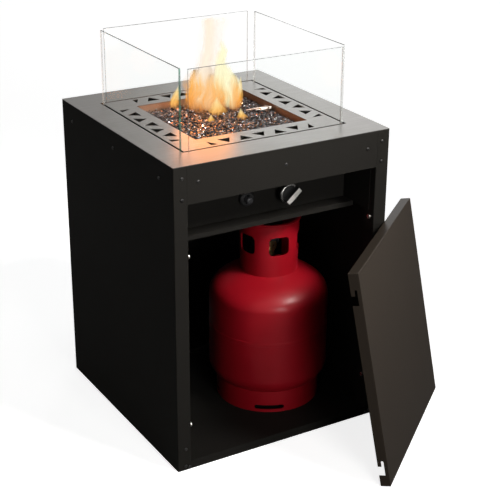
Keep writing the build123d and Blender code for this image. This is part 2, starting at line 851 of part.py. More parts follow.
def gas_pipe():
    """The rigid pipe from the valve back and across to the air mixer."""
    valve_back = control_face + sheet + valve_nose + valve_body_depth + valve_port
    mixer_low = tray_floor - feed_length - mixer_length
    low = mixer_low - elbow_drop
    points = [
        (knob_x, valve_back, control_height),
        (knob_x, valve_back + pipe_run, control_height),
        (knob_x, valve_back + pipe_back, low),
        (0, valve_back + pipe_back, low),
        (0, 0, low),
        (0, 0, mixer_low),
    ]
    path = FilletPolyline(*points, radius=pipe_bend)
    return sweep(Plane(origin=points[0], z_dir=(0, 1, 0)) * Circle(pipe_radius), path=path)


# The leaning panel: it stands on the back edge of its bottom flange, and the back edge of its
# top flange rests on the right front corner of the cabinet.
yaw = math.radians(panel_yaw)
tilt = math.radians(panel_tilt)
panel_right = Vector(math.cos(yaw), math.sin(yaw), 0)
panel_out = Vector(math.sin(yaw), -math.cos(yaw), 0)
panel_normal = panel_out * math.cos(tilt) + Vector(0, 0, 1) * math.sin(tilt)
bend_centre = Vector(half_width - bend_radius, front + bend_radius, 0)
lean_point = bend_centre + panel_out * (bend_radius + lean_gap)
panel_foot = lean_point - panel_right * lean_contact + panel_out * (panel_height * math.sin(tilt))
panel_place = Plane(origin=panel_foot, x_dir=panel_right, z_dir=panel_normal)


def hook_cut(seat):
    """The slot in a side flange: in from the back edge, then up to the stud's seat."""
    centre = panel_flange - stud_depth
    half = hook_slot / 2
    low = seat - hook_drop
    wide = (-1, panel_width + 1)
    entry = block(wide, (low, low + hook_entry_height), (-1, centre + half))
    rise = block(wide, (low, seat), (centre - half, centre + half))
    crown = rod((-1, seat, centre), (1, 0, 0), half, panel_width + 2)
    return entry + rise + crown


def front_panel():
    """The lift-off front: a pan with hook slots in its side flanges."""
    outer = block((0, panel_width), (0, panel_height), (0, panel_flange))
    outer = fillet(outer.edges().filter_by(Axis.Z), bend_radius)
    outer = fillet(outer.edges().group_by(Axis.Z)[-1], 1.4)
    inner = block(
        (sheet, panel_width - sheet), (sheet, panel_height - sheet), (-1, panel_flange - sheet)
    )
    pan = outer - inner
    inside = block((sheet + 0.5, panel_width - sheet - 0.5), (0, panel_height), (-2, hook_reach))
    for seat in (hook_seat, hook_seat + stud_spacing):
        pan = pan - (hook_cut(seat) - inside)
    return panel_place * pan


def panel_studs():
    """Four headed studs on the posts' returns, which the panel's slots hook over."""
    studs = []
    for side in (-1, 1):
        for z in (stud_low, stud_low + stud_spacing):
            seat = (side * post_inner, front + stud_depth, z)
            neck = rod(seat, (-side, 0, 0), stud_neck_radius, stud_neck_length)
            tip = (side * (post_inner - stud_neck_length), front + stud_depth, z)
            studs.append(neck + rod(tip, (-side, 0, 0), stud_head_radius, stud_head_length))
    return Compound(studs)


nodes = {
    "left_side_panel": side_panel(-1),
    "right_side_panel": side_panel(1),
    "back_panel": back_panel(),
    "fascia": fascia(),
    "control_panel": control_panel(),
    "floor_pan": floor_pan(),
    "top_plate": top_plate(),
    "insert_plate": insert_plate(),
    "glass_channel_front": glass_channel(0),
    "glass_channel_right": glass_channel(1),
    "glass_channel_back": glass_channel(2),
    "glass_channel_left": glass_channel(3),
    "glass_front": glass_pane(0),
    "glass_right": glass_pane(1),
    "glass_back": glass_pane(2),
    "glass_left": glass_pane(3),
    "burner_tray": burner_tray(),
    "burner_ring": burner_ring(),
    "burner_feed": burner_feed(),
    "air_mixer": air_mixer(),
    "fire_glass": fire_glass(),
    "pilot_bracket": pilot_bracket(),
    "thermocouple": thermocouple(),
    "spark_electrode": spark_electrode(),
    "bottle_shell": bottle_shell(),
    "foot_ring": foot_ring(),
    "bottle_collar": bottle_collar(),
    "bottle_valve": bottle_valve(),
    "valve_outlet": valve_outlet(),
    "handwheel": handwheel(),
    "coupling_nut": coupling_nut(),
    "nut_grip": nut_grip(),
    "regulator": regulator(),
    "gas_hose": gas_hose(),
    "regulator_fitting": hose_fitting(along_outlet(regulator_end), outlet),
    "valve_fitting": hose_fitting(inlet_start - Vector(8, 0, 0), (-1, 0, 0)),
    "gas_valve": gas_valve(),
    "valve_stem": valve_stem(),
    "knob": knob(),
    "knob_ring": knob_ring(),
    "knob_inlay": knob_inlay(),
    "igniter_body": igniter_body(),
    "igniter_nut": igniter_nut(),
    "igniter_button": igniter_button(),
    "gas_pipe": gas_pipe(),
    "front_panel": front_panel(),
    "panel_studs": panel_studs(),
    "post_screws": screws(post_screw_places),
    "fascia_screws": screws(fascia_screw_places),
    "side_screws": screws(side_screw_places),
    "back_screws": screws(back_screw_places),
}

os.makedirs("parts", exist_ok=True)
for name, shape in nodes.items():
    export_step(shape, f"parts/{name}.step")
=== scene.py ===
import math
import random

import bmesh
import bpy
from bpy.props import FloatProperty, FloatVectorProperty, IntProperty, PointerProperty
from mathutils import Matrix, Vector


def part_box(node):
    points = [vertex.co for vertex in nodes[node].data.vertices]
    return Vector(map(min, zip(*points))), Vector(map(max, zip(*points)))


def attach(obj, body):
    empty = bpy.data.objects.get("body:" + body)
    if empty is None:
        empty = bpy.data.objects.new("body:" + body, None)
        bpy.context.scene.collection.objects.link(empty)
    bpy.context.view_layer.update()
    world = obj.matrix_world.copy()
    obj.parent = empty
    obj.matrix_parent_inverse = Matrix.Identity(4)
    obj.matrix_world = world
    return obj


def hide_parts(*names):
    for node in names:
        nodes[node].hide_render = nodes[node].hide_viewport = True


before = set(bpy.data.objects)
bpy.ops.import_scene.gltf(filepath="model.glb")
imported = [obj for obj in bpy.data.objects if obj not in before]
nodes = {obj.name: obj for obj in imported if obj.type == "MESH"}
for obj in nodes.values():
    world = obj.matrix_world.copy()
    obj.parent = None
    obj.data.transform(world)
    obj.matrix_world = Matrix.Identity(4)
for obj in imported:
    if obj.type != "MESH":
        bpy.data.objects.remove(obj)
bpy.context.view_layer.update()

bl_info = {
    "name": "Outdoor gas fireplace",
    "version": (1, 0, 0),
    "blender": (4, 5, 0),
    "location": "3D View > Sidebar > Fireplace",
    "description": "Dresses the sheet-steel fireplace: coats, glass, fire glass, flame, bottle and controls",
    "category": "Object",
}

same_point = 0.000002
media_top = 0.7685
tray_floor = 0.7235
tray_half = 0.158
control_face = -0.180
control_height = 0.624
knob_x = 0.076
knob_turn = math.radians(41)
igniter_x = -0.033
knob_gap = 0.005
knob_neck = 0.020
skirt_place = Vector((knob_x, control_face - knob_gap - knob_neck, control_height))
grip_size = (0.048, 0.014, 0.019)
grip_middle = 0.0165
face_size = (0.0462, 0.0122, 0.0026)
face_middle = 0.0258
bottle_axis = Vector((0.093, -0.089, 0))
bottle_radius = 0.156
bottle_dome = 0.078
bottle_boss = 0.024
dome_steps = 24
hose_width = 0.012

# The hose's route: from the regulator down behind the bottle, along the floor, up on the left
# and over to the valve.
hose_route = (
    (0.172, 0.04783, 0.427),
    (0.198, 0.09287, 0.427),
    (0.247, 0.212, 0.372),
    (0.238, 0.236, 0.290),
    (0.222, 0.232, 0.200),
    (0.194, 0.222, 0.108),
    (0.130, 0.200, 0.046),
    (0.040, 0.168, 0.034),
    (-0.044, 0.132, 0.062),
    (-0.098, 0.098, 0.132),
    (-0.146, 0.066, 0.222),
    (-0.186, 0.034, 0.320),
    (-0.202, 0.002, 0.420),
    (-0.182, -0.046, 0.512),
    (-0.132, -0.100, 0.574),
    (-0.070, -0.134, 0.594),
    (-0.018, -0.144, 0.602),
    (0.024, -0.144, 0.602),
)

# Camera, from the photograph's own perspective.
camera_place = Vector((-1.50046, -2.65922, 1.71744))
camera_turn = -0.5388
camera_dip = 0.4038
camera_roll = 0.0077
camera_lens = 91.40


class Value:
    """A shader socket that can stand in a sum, such as 1 - mask * 0.4."""

    def __init__(self, finish, socket):
        self.finish = finish
        self.socket = socket

    def _math(self, operation, *parts):
        return self.finish.node("ShaderNodeMath", {"operation": operation}, dict(enumerate(parts)))

    def __add__(self, other):
        return self._math("ADD", self, other)

    def __sub__(self, other):
        return self._math("SUBTRACT", self, other)

    def __rsub__(self, other):
        return self._math("SUBTRACT", other, self)

    def __mul__(self, other):
        return self._math("MULTIPLY", self, other)

    def __pow__(self, other):
        return self._math("POWER", self, other)

    def above(self, level):
        """1 where this is over the level, else 0."""
        return self._math("GREATER_THAN", self, level)

    def distance(self):
        """How far this is from 0, whatever its sign."""
        return self._math("ABSOLUTE", self)

    def clipped(self):
        """This, held between 0 and 1."""
        return self._math("MINIMUM", self._math("MAXIMUM", self, 0.0), 1.0)


class Finish:
    """A node material. node() adds any node and gives one of its outputs."""

    def __init__(self, name):
        self.material = bpy.data.materials.new(name)
        self.material.use_nodes = True
        self.tree = self.material.node_tree
        self.tree.nodes.clear()

    def node(self, kind, settings=None, sockets=None, output=0):
        made = self.tree.nodes.new(kind)
        for name, value in (settings or {}).items():
            if name == "stops":
                self._stops(made.color_ramp, value)
            else:
                setattr(made, name, value)
        for name, value in (sockets or {}).items():
            if isinstance(value, Value):
                self.tree.links.new(value.socket, made.inputs[name])
            else:
                made.inputs[name].default_value = value
        return Value(self, made.outputs[output]) if len(made.outputs) else None

    def _stops(self, ramp, stops):
        while len(ramp.elements) < len(stops):
            ramp.elements.new(0.5)
        for element, (position, colour) in zip(ramp.elements, stops):
            element.position = position
            element.color = (*colour, 1.0)

    def place(self):
        """The point on the object, in metres."""
        return self.node("ShaderNodeTexCoord", output=3)

    def chart(self):
        """The point on the piece's own UV map."""
        return self.node("ShaderNodeTexCoord", output=2)

    def stretched(self, point, scale=(1, 1, 1), location=(0, 0, 0)):
        sockets = {"Vector": point, "Location": location, "Scale": scale}
        return self.node("ShaderNodeMapping", None, sockets)

    def noise(self, scale, detail=2.0, point=None):
        sockets = {"Vector": point or self.place(), "Scale": scale, "Detail": detail}
        return self.node("ShaderNodeTexNoise", None, sockets)

    def cells(self, scale):
        sockets = {"Vector": self.place(), "Scale": scale}
        return self.node("ShaderNodeTexVoronoi", None, sockets)

    def ramp(self, factor, stops):
        return self.node("ShaderNodeValToRGB", {"stops": stops}, {"Fac": factor})

    def colours(self, factor, first, second):
        """A colour between two, by a factor."""
        settings = {"data_type": "RGBA"}
        first = first if isinstance(first, Value) else (*first, 1.0)
        second = second if isinstance(second, Value) else (*second, 1.0)
        return self.node("ShaderNodeMix", settings, {0: factor, 6: first, 7: second}, output=2)

    def bump(self, height, distance, strength=1.0):
        sockets = {"Height": height, "Distance": distance, "Strength": strength}
        return self.node("ShaderNodeBump", None, sockets)

    def principled(self, sockets):
        return self.node("ShaderNodeBsdfPrincipled", None, sockets)

    def end(self, shader):
        self.node("ShaderNodeOutputMaterial", None, {"Surface": shader})
        return self.material

    def end_principled(self, sockets):
        return self.end(self.principled(sockets))


def powder_coat(name, colour, rough=0.5, specular=0.035):
    """Fine satin powder coat: a slow cloud in the colour and a tight orange peel."""
    f = Finish(name)
    cloud = f.noise(2.2, 3.0)
    grain = f.noise(420.0, 2.0)
    pale = tuple(min(1.0, channel * 1.3 + 0.001) for channel in colour)
    shade = f.colours((cloud * 1.6 - 0.3).clipped(), colour, pale)
    sockets = {
        "Base Color": f.colours(grain * 0.12, shade, (0.05, 0.048, 0.046)),
        "Roughness": (cloud - 0.5) * 0.12 + (grain - 0.5) * 0.08 + rough,
        "Specular IOR Level": specular,
        "Normal": f.bump(grain, 0.00005, 0.5),
    }
    return f.end_principled(sockets)


def top_finish(name, colour):
    """Satin metallic coat with the sheet's faint rolling lines."""
    f = Finish(name)
    point = f.place()
    lines = f.noise(1.0, 3.0, f.stretched(point, scale=(9.0, 260.0, 260.0)))
    cloud = f.noise(3.0, 2.0, point)
    grain = f.noise(500.0, 2.0, point)
    pale = tuple(channel * 1.18 for channel in colour)
    shade = f.colours((cloud * 1.4 - 0.2).clipped(), colour, pale)
    sockets = {
        "Base Color": f.colours((lines - 0.5).distance() * 0.5, shade, (0.4, 0.4, 0.39)),
        "Metallic": 0.82,
        "Roughness": (lines - 0.5) * 0.16 + (cloud - 0.5) * 0.08 + 0.37,
        "Normal": f.bump(grain + lines, 0.00004, 0.6),
    }
    return f.end_principled(sockets)


def sheet_steel(name, colour, tint, rough=0.36):
    """Bare stainless sheet with brushing and a heat tint in patches."""
    f = Finish(name)
    point = f.place()
    brushing = f.noise(1.0, 2.0, f.stretched(point, scale=(30.0, 30.0, 900.0)))
    patches = f.noise(16.0, 4.0, point)
    sockets = {
        "Base Color": f.colours((patches * 2.2 - 0.6).clipped(), colour, tint),
        "Metallic": 0.92,
        "Roughness": (brushing - 0.5) * 0.3 + patches * 0.1 + rough,
        "Normal": f.bump(brushing, 0.00006, 0.5),
    }
    return f.end_principled(sockets)


def cast_metal(name, colour, metallic=0.85, rough=0.45, pits=700.0):
    """Die-cast metal: pitted and a little cloudy."""
    f = Finish(name)
    pitting = f.cells(pits)
    cloud = f.noise(60.0, 3.0)
    dark = tuple(channel * 0.6 for channel in colour)
    sockets = {
        "Base Color": f.colours(cloud, dark, colour),
        "Metallic": metallic,
        "Roughness": cloud * 0.2 + rough - 0.1,
        "Normal": f.bump(pitting, 0.00008, 0.5),
    }
    return f.end_principled(sockets)


def turned_metal(name, colour, centre, rough=0.22):
    """Bright metal with the fine rings that a lathe leaves, about an axis along Y."""
    f = Finish(name)
    offset = tuple(-part for part in centre)
    point = f.stretched(f.place(), location=offset)
    settings = {"wave_type": "RINGS", "rings_direction": "Y"}
    sockets = {"Vector": point, "Scale": 380.0, "Distortion": 0.4}
    rings = f.node("ShaderNodeTexWave", settings, sockets, output=1)
    smears = f.noise(90.0, 3.0)
    dark = tuple(channel * 0.82 for channel in colour)
    sockets = {
        "Base Color": f.colours(smears, dark, colour),
        "Metallic": 0.95,
        "Roughness": rings * 0.1 + smears * 0.12 + rough - 0.1,
        "Normal": f.bump(rings, 0.00003, 0.4),
    }
    return f.end_principled(sockets)


def gloss_enamel(name, colour, deep):
    """Gloss enamel over steel: orange peel, a little dust in specks and a clear coat."""
    f = Finish(name)
    peel = f.noise(190.0, 1.0)
    cloud = f.noise(7.0, 3.0)
    specks = f.noise(320.0, 2.0)
    shade = f.colours(cloud, deep, colour)
    dust = ((specks - 0.62) * 6.0).clipped() * 0.2
    sockets = {
        "Base Color": f.colours(dust, shade, (0.12, 0.03, 0.03)),
        "Roughness": dust * 1.5 + cloud * 0.12 + 0.38,
        "Specular IOR Level": 0.22,
        "Coat Weight": 0.16,
        "Coat Roughness": 0.24,
        "Normal": f.bump(peel, 0.0002, 0.35),
    }
    return f.end_principled(sockets)


def moulded(name, colour, rough=0.38, texture=900.0):
    """Moulded black plastic with a fine spark-eroded texture."""
    f = Finish(name)
    grain = f.cells(texture)
    cloud = f.noise(40.0, 2.0)
    pale = tuple(channel * 1.6 + 0.004 for channel in colour)
    sockets = {
        "Base Color": f.colours(cloud, colour, pale),
        "Roughness": grain * 0.12 + cloud * 0.1 + rough - 0.08,
        "Normal": f.bump(grain, 0.00005, 0.5),
    }
    return f.end_principled(sockets)


def hose_rubber(name):
    """Matt rubber hose: bands of fine cross ribs along its length, dusty."""
    f = Finish(name)
    settings = {"wave_type": "BANDS", "bands_direction": "X"}
    ribs = f.node("ShaderNodeTexWave", settings, {"Vector": f.chart(), "Scale": 60.0}, output=1)
    dust = f.noise(50.0, 4.0)
    sockets = {
        "Base Color": f.colours((dust * 2.0 - 0.8).clipped(), (0.012, 0.012, 0.013), (0.04, 0.038, 0.036)),
        "Roughness": dust * 0.2 + 0.5,
        "Normal": f.bump(ribs, 0.0001, 0.4),
    }
    return f.end_principled(sockets)


def glazed(name, colour):
    """Glazed ceramic with a few grey specks."""
    f = Finish(name)
    specks = f.noise(900.0, 2.0)
    grey = tuple(channel * 0.5 for channel in colour)
    sockets = {
        "Base Color": f.colours(((specks - 0.66) * 8.0).clipped(), colour, grey),
        "Roughness": specks * 0.2 + 0.2,
        "Normal": f.bump(f.noise(200.0), 0.00005, 0.4),
    }
    return f.end_principled(sockets)


def pane_face(name):
    """A pane's broad faces: clear, with the sheen that grows towards the edge of sight."""
    f = Finish(name)
    facing = f.node("ShaderNodeLayerWeight", None, {"Blend": 0.5}, output=1)
    smears = f.noise(9.0, 3.0)
    clear = f.node("ShaderNodeBsdfTransparent", None, {"Color": (0.993, 0.997, 0.995, 1.0)})
    mirror = {"Base Color": (0.9, 0.95, 0.93, 1.0), "Metallic": 1.0, "Roughness": smears * 0.05 + 0.01}
    gloss = f.principled(mirror)
    share = facing ** 4.0 * 0.09 + 0.006
    return f.end(f.node("ShaderNodeMixShader", None, {0: share, 1: clear, 2: gloss}))


def pane_edge(name, colour, cover):
    """A pane's ground and polished edge in a given colour: the glass's depth colour for the nearest corner,
    painted shade for the top rim and a painted highlight for the other sides.
    """
    f = Finish(name)
    streaks = f.noise(1.0, 2.0, f.stretched(f.place(), scale=(40.0, 40.0, 40.0)))
    pale = tuple(min(1.0, channel * 3.2 + 0.03) for channel in colour)
    sockets = {
        "Base Color": f.colours((streaks * 2.0 - 0.6).clipped(), colour, pale),
        "Roughness": streaks * 0.2 + 0.08,
        "Specular IOR Level": 0.5,
        "Alpha": (streaks * 0.3 + cover).clipped(),
    }
    return f.end_principled(sockets)


def chip_glass(name):
    """Crushed black glass: black chips, some with a bright mirrored side, and a few tinted warm as a painted
    reflection of the flame.
    """
    f = Finish(name)
    own = f.node("ShaderNodeAttribute", {"attribute_name": "chip"}, output=2)
    grain = f.noise(300.0, 2.0)
    mirrored = own.above(0.84)
    # A few mirrored chips are tinted warm: a painted reflection of the flame's light.
    flame_reflection_tint = own.above(0.95)
    body = f.colours(grain, (0.006, 0.005, 0.006), (0.030, 0.026, 0.028))
    bright = f.colours(flame_reflection_tint, (0.24, 0.235, 0.255), (0.42, 0.24, 0.15))
    sockets = {
        "Base Color": f.colours(mirrored, body, bright),
        "Metallic": mirrored * 0.85,
        "Roughness": grain * 0.14 + 0.14,
        "Specular IOR Level": 0.7,
        "Normal": f.bump(grain, 0.0002, 0.3),
    }
    return f.end_principled(sockets)


def flame_light(name, root, heart, crown, cover, fade, heat, streak):
    """A tongue of flame: its own light, thin at the sides and towards its tip."""
    f = Finish(name)
    chart = f.chart()
    across = f.node("ShaderNodeSeparateXYZ", None, {0: chart}, output=0)
    along = f.node("ShaderNodeSeparateXYZ", None, {0: chart}, output=1)
    streaks = f.noise(1.0, 3.0, f.stretched(chart, scale=(streak, streak * 0.25, 1.0)))
    curls = f.noise(38.0, 3.0, f.place())
    side = (across - 0.5).distance() * 2.0
    body = (1.0 - side ** 2.2).clipped()
    tip = ((1.0 - along) * fade).clipped()
    foot = (along * 4.5 + 0.12).clipped()
    thin = (streaks * 2.4 - 0.55).clipped() * ((curls * 1.3).clipped() * 0.5 + 0.5)
    hot = (body * 0.6 + streaks * 1.3 - 0.85).clipped()
    height = f.ramp(along, ((0.0, root), (0.34, heart), (1.0, crown)))
    sockets = {
        "Base Color": (0.0, 0.0, 0.0, 1.0),
        "Roughness": 1.0,
        "Specular IOR Level": 0.0,
        "Emission Color": f.colours(hot * heat, height, (1.0, 0.93, 0.62)),
        "Emission Strength": 1.05,
        "Alpha": (body * tip * foot * thin * cover * 1.6).clipped(),
    }
    return f.end_principled(sockets)


def stage_floor(name):
    """Pale floor that reads as white to the eye and keeps its soft shadow."""
    f = Finish(name)
    seen = f.node("ShaderNodeLightPath", output=0)
    through = f.node("ShaderNodeLightPath", output=6)
    lift = (seen + through).clipped()
    cloud = f.noise(0.8, 2.0)
    shown = f.colours(cloud, (0.80, 0.80, 0.80), (0.84, 0.84, 0.835))
    sockets = {
        "Base Color": f.colours(lift, (0.34, 0.34, 0.34), shown),
        "Roughness": 0.9,
        "Specular IOR Level": 0.1,
        "Emission Color": f.colours(lift, (0.0, 0.0, 0.0), (1.0, 1.0, 1.0)),
        "Emission Strength": 0.82,
    }
    return f.end_principled(sockets)


def piece(bm, name, materials, body, replaced, sharp=32.0):
    """Ends a bmesh as a finished piece that rides on a body."""
    bmesh.ops.remove_doubles(bm, verts=bm.verts, dist=same_point)
    bmesh.ops.recalc_face_normals(bm, faces=bm.faces)
    mesh = bpy.data.meshes.new(name)
    bm.to_mesh(mesh)
    bm.free()
    mesh.shade_smooth()
    mesh.set_sharp_from_angle(angle=math.radians(sharp))
    for material in materials:
        mesh.materials.append(material)
    made = bpy.data.objects.new(name, mesh)
    bpy.context.scene.collection.objects.link(made)
    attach(made, body)
    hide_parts(*replaced)
    return made


def add(bm, part, place=None):
    """Moves a small bmesh into a larger one, in its place."""
    if place is not None:
        part.transform(place)
    carrier = bpy.data.meshes.new("carrier")
    part.to_mesh(carrier)
    part.free()
    bm.from_mesh(carrier)
    bpy.data.meshes.remove(carrier)


def turned(outline, steps):
    """A round part: a half outline of (radius, height) points spun about Z."""
    part = bmesh.new()
    corners = [part.verts.new((radius, 0.0, height)) for radius, height in outline]
    edges = [part.edges.new(pair) for pair in zip(corners, corners[1:])]
    bmesh.ops.spin(
        part,
        geom=corners + edges,
        cent=(0, 0, 0),
        axis=(0, 0, 1),
        angle=math.tau,
        steps=steps,
        use_merge=True,
    )
    bmesh.ops.remove_doubles(part, verts=part.verts, dist=same_point)
    bmesh.ops.recalc_face_normals(part, faces=part.faces)
    return part


def bar(size, bevel, segments):
    """A box with rounded edges about the origin."""
    part = bmesh.new()
    bmesh.ops.create_cube(part, size=1.0)
    bmesh.ops.scale(part, vec=size, verts=part.verts)
    bmesh.ops.bevel(
        part, geom=part.edges[:], offset=bevel, segments=segments, profile=0.5, affect="EDGES", material=-1
    )
    return part


def coat(material, *names):
    """Gives CAD nodes their finish."""
    for name in names:
        node = nodes[name]
        if not node.material_slots:
            node.data.materials.append(material)
        for holder in node.material_slots:
            holder.material = material


def lying(centre, turn=0.0):
    """The place of a part turned on Z that should stand out to the front (-Y) at a point."""
    flat = Matrix.Rotation(math.pi / 2, 4, "X") @ Matrix.Rotation(turn, 4, "Z")
    return Matrix.Translation(centre) @ flat


class FireplaceSizes(bpy.types.PropertyGroup):
    chip_size: FloatProperty(
        name="Chip size",
        description="Half the width of a chip of fire glass",
        default=0.0046,
        unit="LENGTH",
    )
    chip_count: IntProperty(name="Chips", description="How many chips lie on the bed", default=5200)
    flame_width: FloatProperty(
        name="Flame width",
        description="Widens or narrows every tongue of the flame",
        default=1.0,
        subtype="FACTOR",
    )
    glow: FloatProperty(
        name="Glow", description="Power of the flame's light on the burner", default=1.7, unit="POWER"
    )


class FireplaceColours(bpy.types.PropertyGroup):
    cabinet: FloatVectorProperty(
        name="Cabinet",
        description="Powder coat of the cabinet",
        default=(0.0105, 0.0098, 0.0086),
        subtype="COLOR",
    )
    panel: FloatVectorProperty(
        name="Panel",
        description="Powder coat of the lift-off front",
        default=(0.026, 0.0195, 0.0142),
        subtype="COLOR",
    )
    top: FloatVectorProperty(
        name="Top", description="Coat of the top plates", default=(0.122, 0.116, 0.107), subtype="COLOR"
    )
    bottle: FloatVectorProperty(
        name="Bottle", description="Enamel of the gas bottle", default=(0.36, 0.004, 0.012), subtype="COLOR"
    )
    glass_edge: FloatVectorProperty(
        name="Glass edge",
        description="Depth colour of the nearest glass edge",
        default=(0.012, 0.045, 0.03),
        subtype="COLOR",
    )


class FIREPLACE_OT_stage(bpy.types.Operator):
    """Sets the camera, the pale floor, the world and the soft lights"""

    bl_idname = "fireplace.stage"
    bl_label = "Stage"

    floor_reach = 40.0
    world_light = 0.14
    world_seen = 1.0

    # Each lamp: name, place, aim, width, power, colour and spread in degrees.
    lamps = (
        ("key_light", (0.9, -1.9, 2.5), (0.05, -0.30, 1.02), 0.9, 7.5, (1.0, 0.97, 0.93), 38),
        ("fill_light", (-0.2, -3.4, 1.15), (0.07, 0.0, 0.30), 1.2, 10.0, (1.0, 0.98, 0.96), 90),
        ("side_light", (3.0, -0.6, 1.7), (0.0, 0.0, 0.5), 1.2, 9.0, (0.96, 0.98, 1.0), 150),
        ("back_light", (3.9, 5.2, 2.7), (0.0, 0.0, 0.5), 2.6, 24.0, (1.0, 1.0, 1.0), 150),
    )

    def execute(self, context):
        self.camera(context)
        self.floor(context)
        self.world(context)
        for lamp in self.lamps:
            self.lamp(context, *lamp)
        context.scene.view_settings.view_transform = "Standard"
        return {"FINISHED"}

    def camera(self, context):
        ahead = Vector(
            (
                -math.sin(camera_turn) * math.cos(camera_dip),
                math.cos(camera_turn) * math.cos(camera_dip),
                -math.sin(camera_dip),
            )
        )
        level = ahead.cross(Vector((0, 0, 1))).normalized()
        upright = level.cross(ahead)
        right = level * math.cos(camera_roll) + upright * math.sin(camera_roll)
        up = upright * math.cos(camera_roll) - level * math.sin(camera_roll)
        turn = Matrix((right, up, -ahead)).transposed().to_4x4()
        eye = bpy.data.cameras.new("camera")
        eye.lens = camera_lens
        eye.sensor_width = 36.0
        eye.clip_end = 60.0
        made = bpy.data.objects.new("camera", eye)
        made.matrix_world = Matrix.Translation(camera_place) @ turn
        context.scene.collection.objects.link(made)
        context.scene.camera = made

    def floor(self, context):
        bm = bmesh.new()
        bmesh.ops.create_grid(bm, x_segments=2, y_segments=2, size=self.floor_reach)
        mesh = bpy.data.meshes.new("floor")
        bm.to_mesh(mesh)
        bm.free()
        mesh.materials.append(stage_floor("stage_floor"))
        made = bpy.data.objects.new("floor", mesh)
        context.scene.collection.objects.link(made)

    def world(self, context):
        """Bright where it is seen, mirrored or seen through, and dim as a light on surfaces."""
        world = bpy.data.worlds.new("studio")
        context.scene.world = world
        world.use_nodes = True
        tree = world.node_tree
        tree.nodes.clear()
        path = tree.nodes.new("ShaderNodeLightPath")
        first = tree.nodes.new("ShaderNodeMath")
        second = tree.nodes.new("ShaderNodeMath")
        strength = tree.nodes.new("ShaderNodeMapRange")
        light = tree.nodes.new("ShaderNodeBackground")
        end = tree.nodes.new("ShaderNodeOutputWorld")
        first.operation = "MAXIMUM"
        second.operation = "MAXIMUM"
        tree.links.new(path.outputs["Is Camera Ray"], first.inputs[0])
        tree.links.new(path.outputs["Is Glossy Ray"], first.inputs[1])
        tree.links.new(first.outputs[0], second.inputs[0])
        tree.links.new(path.outputs["Is Transmission Ray"], second.inputs[1])
        tree.links.new(second.outputs[0], strength.inputs["Value"])
        strength.inputs["To Min"].default_value = self.world_light
        strength.inputs["To Max"].default_value = self.world_seen
        tree.links.new(strength.outputs["Result"], light.inputs["Strength"])
        tree.links.new(light.outputs["Background"], end.inputs["Surface"])

    def lamp(self, context, name, place, aim, size, power, colour, spread):
        light = bpy.data.lights.new(name, "AREA")
        light.shape = "DISK"
        light.size = size
        light.energy = power
        light.color = colour
        light.spread = math.radians(spread)
        made = bpy.data.objects.new(name, light)
        turn = (Vector(aim) - Vector(place)).to_track_quat("-Z", "Y").to_matrix().to_4x4()
        made.matrix_world = Matrix.Translation(place) @ turn
        context.scene.collection.objects.link(made)


class FIREPLACE_OT_hose(bpy.types.Operator):
    """Lays the gas hose on one smooth spline between the regulator and the valve"""

    bl_idname = "fireplace.hose"
    bl_label = "Gas hose"

    def execute(self, context):
        curve = bpy.data.curves.new("rubber_hose", "CURVE")
        curve.dimensions = "3D"
        curve.bevel_depth = hose_width / 2
        curve.bevel_resolution = 5
        curve.resolution_u = 16
        curve.use_fill_caps = True
        spline = curve.splines.new("NURBS")
        spline.points.add(len(hose_route) - 1)
        for point, place in zip(spline.points, hose_route):
            point.co = (*place, 1.0)
        spline.order_u = 3
        spline.use_endpoint_u = True
        curve.materials.append(hose_rubber("hose_rubber_finish"))
        hose = bpy.data.objects.new("rubber_hose", curve)
        context.scene.collection.objects.link(hose)
        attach(hose, "cabinet")
        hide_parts("gas_hose")
        return {"FINISHED"}


class FIREPLACE_OT_cabinet(bpy.types.Operator):
    """Coats the cabinet's sheets, the top plates and the leaning front"""

    bl_idname = "fireplace.cabinet"
    bl_label = "Cabinet"

    def execute(self, context):
        colours = context.scene.fireplace_colours
        body = powder_coat("cabinet_coat", tuple(colours.cabinet))
        coat(
            body,
            "left_side_panel",
            "right_side_panel",
            "back_panel",
            "fascia",
            "control_panel",
            "floor_pan",
            "glass_channel_front",
            "glass_channel_right",
            "glass_channel_back",
            "glass_channel_left",
        )
        coat(powder_coat("panel_coat", tuple(colours.panel), 0.46, 0.10), "front_panel")
        coat(top_finish("top_coat_finish", tuple(colours.top)), "top_plate", "insert_plate")
        return {"FINISHED"}


